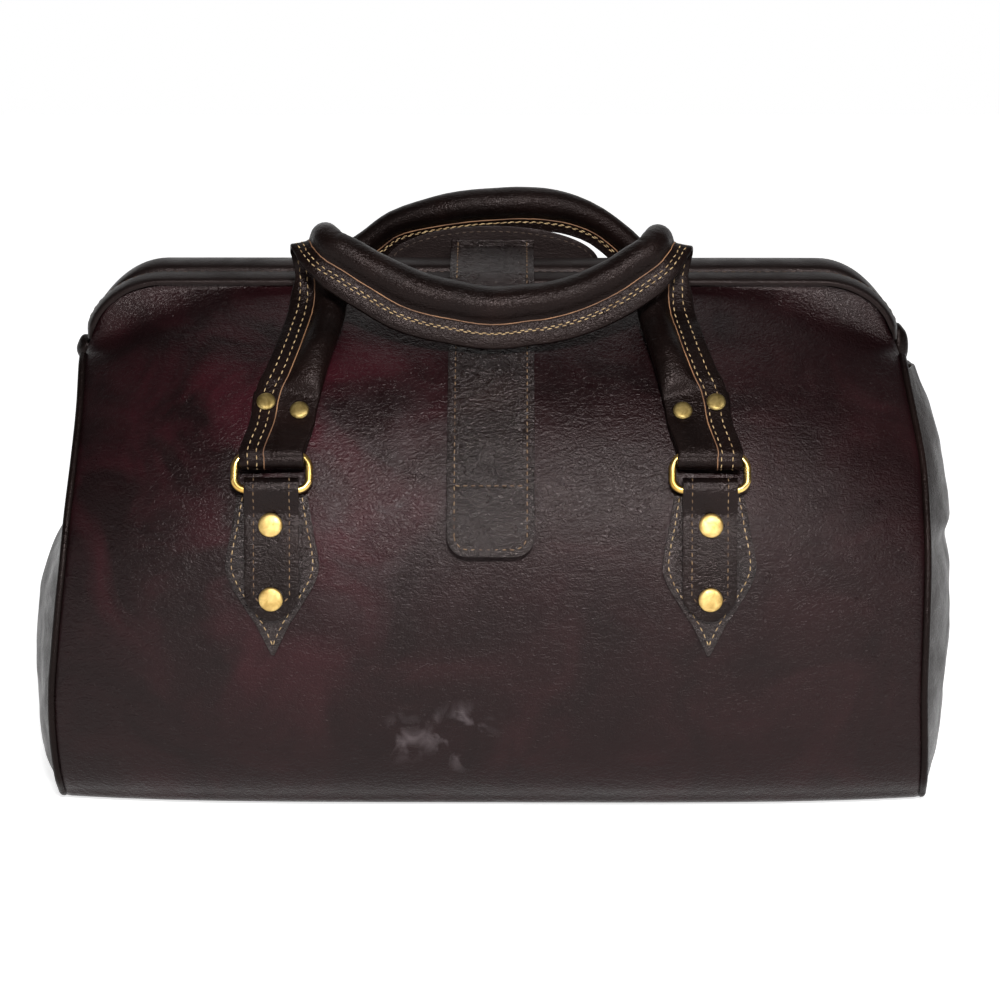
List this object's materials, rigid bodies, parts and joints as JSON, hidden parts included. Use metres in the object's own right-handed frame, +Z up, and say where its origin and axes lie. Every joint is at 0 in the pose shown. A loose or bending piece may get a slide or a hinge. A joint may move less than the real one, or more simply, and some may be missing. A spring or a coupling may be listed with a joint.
{
  "type": "travel bag",
  "caption": "Leather travel bag with a hinged steel mouth frame, rolled handles on rings and a snap closure strap.",
  "frame": {"origin": "middle of the bag's box, on the floor that the bag stands on", "axes": "+X along the bag's length, to the right as seen from the front; -Y to the front; +Z up"},
  "size_m": [0.4989, 0.2438, 0.3143],
  "materials": {
    "leather": "smooth, glossy, dark burgundy brown, worn",
    "dark_leather": "smooth, semi-gloss, almost black",
    "steel": "plain strip",
    "brass": "polished",
    "old_brass": "darkened with age",
    "board": "fibreboard"
  },
  "bodies": {
    "bag": {"front_panel": "leather", "rear_panel": "leather", "left_gusset": "dark_leather", "right_gusset": "dark_leather", "base_board": "board", "rear_frame_cover": "dark_leather", "rear_frame_bar": "steel", "left_hinge_pin": "steel", "right_hinge_pin": "steel", "left_hinge_cover": "dark_leather", "right_hinge_cover": "dark_leather", "strap_yoke": "leather", "strap_sewn_end": "leather", "snap_socket": "old_brass", "front_left_piping": "dark_leather", "front_left_patch": "leather", "front_left_chape": "dark_leather", "front_left_upper_chape_rivet": "brass", "front_left_lower_chape_rivet": "brass", "front_right_piping": "dark_leather", "front_right_patch": "leather", "front_right_chape": "dark_leather", "front_right_upper_chape_rivet": "brass", "front_right_lower_chape_rivet": "brass", "rear_left_piping": "dark_leather", "rear_left_patch": "leather", "rear_left_chape": "dark_leather", "rear_left_upper_chape_rivet": "brass", "rear_left_lower_chape_rivet": "brass", "rear_right_piping": "dark_leather", "rear_right_patch": "leather", "rear_right_chape": "dark_leather", "rear_right_upper_chape_rivet": "brass", "rear_right_lower_chape_rivet": "brass"},
    "front_frame": {"front_frame_cover": "dark_leather", "front_frame_bar": "steel"},
    "closure_strap": {"closure_strap": "leather", "snap_stud": "old_brass"},
    "front_rings": {"front_left_ring": "brass", "front_right_ring": "brass"},
    "rear_rings": {"rear_left_ring": "brass", "rear_right_ring": "brass"},
    "front_handle": {"front_handle": "dark_leather", "front_handle_rivet_1": "old_brass", "front_handle_rivet_2": "old_brass", "front_handle_rivet_3": "old_brass", "front_handle_rivet_4": "old_brass"},
    "rear_handle": {"rear_handle": "dark_leather", "rear_handle_rivet_1": "old_brass", "rear_handle_rivet_2": "old_brass", "rear_handle_rivet_3": "old_brass", "rear_handle_rivet_4": "old_brass"}
  },
  "joints": [
    {"name": "mouth_open", "type": "hinge", "parent": "bag", "child": "front_frame", "pos_m": [0, 0, 0.232], "axis": [1, 0, 0], "range_deg": [0, 50], "deforming": ["front_panel", "left_gusset", "right_gusset"]},
    {"name": "strap_lift", "type": "hinge", "parent": "bag", "child": "closure_strap", "pos_m": [0, 0.0163, 0.2848], "axis": [-1, 0, 0], "range_deg": [0, 45]},
    {"name": "front_ring_swing", "type": "hinge", "parent": "bag", "child": "front_rings", "pos_m": [0, -0.11097, 0.17335], "axis": [1, 0, 0], "range_deg": [0, 150]},
    {"name": "front_handle_tilt", "type": "hinge", "parent": "front_rings", "child": "front_handle", "pos_m": [0, -0.10325, 0.19016], "axis": [1, 0, 0], "range_deg": [0, 15]},
    {"name": "rear_ring_swing", "type": "hinge", "parent": "bag", "child": "rear_rings", "pos_m": [0, 0.11097, 0.17335], "axis": [-1, 0, 0], "range_deg": [0, 150]},
    {"name": "rear_handle_tilt", "type": "hinge", "parent": "rear_rings", "child": "rear_handle", "pos_m": [0, 0.10325, 0.19016], "axis": [-1, 0, 0], "range_deg": [0, 15]}
  ],
  "couplings": [
    {"joint": "strap_lift", "follows": "mouth_open", "ratio": 0.9},
    {"joint": "front_ring_swing", "follows": "mouth_open", "ratio": 3}
  ]
}
